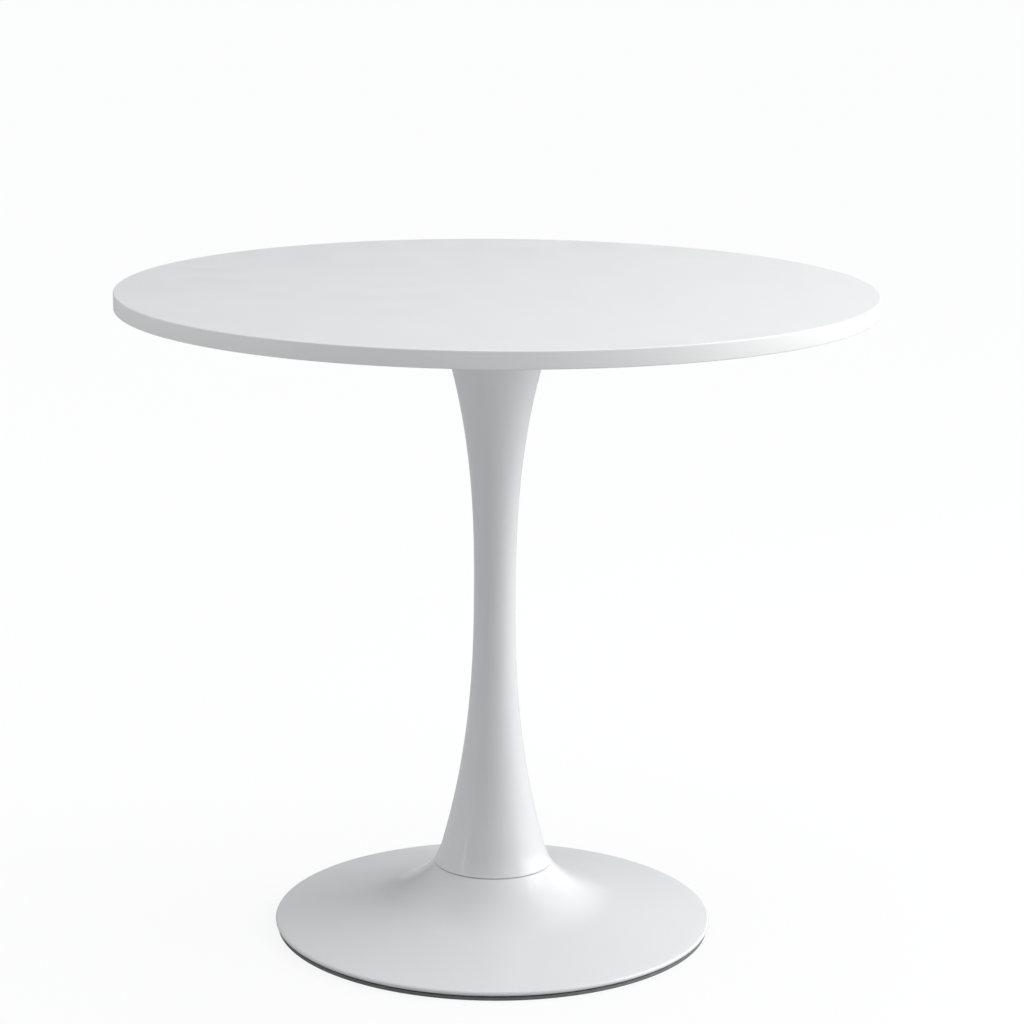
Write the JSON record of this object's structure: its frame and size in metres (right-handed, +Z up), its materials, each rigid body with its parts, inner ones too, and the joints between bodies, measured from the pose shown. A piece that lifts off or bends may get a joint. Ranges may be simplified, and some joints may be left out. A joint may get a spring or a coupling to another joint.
{
  "type": "round pedestal table",
  "caption": "Round dining table with a thin flat disc top on a slender trumpet column that stands on a dished disc base with a soft floor ring.",
  "frame": {"origin": "centre of the floor ring's underside, on the floor under the column's axis", "axes": "+Z up along the column; +X and +Y are alike because the table is round"},
  "size_m": [0.85, 0.85, 0.745],
  "materials": {
    "face_laminate": "satin white high-pressure laminate",
    "backing_laminate": "plain off-white backing laminate",
    "edge_band": "satin white plastic edge band with rounded arrises",
    "fibreboard": "raw medium-density fibreboard",
    "white_lacquer": "semi-gloss white powder coat",
    "zinc_steel": "bright zinc-plated steel",
    "insert_brass": "turned brass",
    "cast_iron": "black-painted rough iron casting",
    "cover_sheet": "black painted sheet steel",
    "ring_rubber": "matt dark-grey rubber"
  },
  "bodies": {
    "root": {"tabletop_core_board": "fibreboard", "tabletop_face_laminate": "face_laminate", "tabletop_backing_laminate": "backing_laminate", "tabletop_edge_band": "edge_band", "column_shell": "white_lacquer", "base_shell": "white_lacquer", "mounting_plate": "white_lacquer", "column_foot_plug": "zinc_steel", "column_head_plug": "zinc_steel", "base_hub": "zinc_steel", "tie_rod": "zinc_steel", "tie_rod_upper_washer": "zinc_steel", "tie_rod_upper_nut": "zinc_steel", "tie_rod_lower_washer": "zinc_steel", "tie_rod_lower_nut": "zinc_steel", "mounting_screw_1": "zinc_steel", "mounting_screw_2": "zinc_steel", "mounting_screw_3": "zinc_steel", "mounting_screw_4": "zinc_steel", "mounting_screw_5": "zinc_steel", "mounting_screw_6": "zinc_steel", "cover_screw_1": "zinc_steel", "cover_screw_2": "zinc_steel", "cover_screw_3": "zinc_steel", "cover_screw_4": "zinc_steel", "upper_locating_pin_1": "zinc_steel", "upper_locating_pin_2": "zinc_steel", "lower_locating_pin_1": "zinc_steel", "lower_locating_pin_2": "zinc_steel", "threaded_insert_1": "insert_brass", "threaded_insert_2": "insert_brass", "threaded_insert_3": "insert_brass", "threaded_insert_4": "insert_brass", "threaded_insert_5": "insert_brass", "threaded_insert_6": "insert_brass", "ballast_casting": "cast_iron", "bottom_cover": "cover_sheet", "floor_ring": "ring_rubber"}
  },
  "joints": []
}
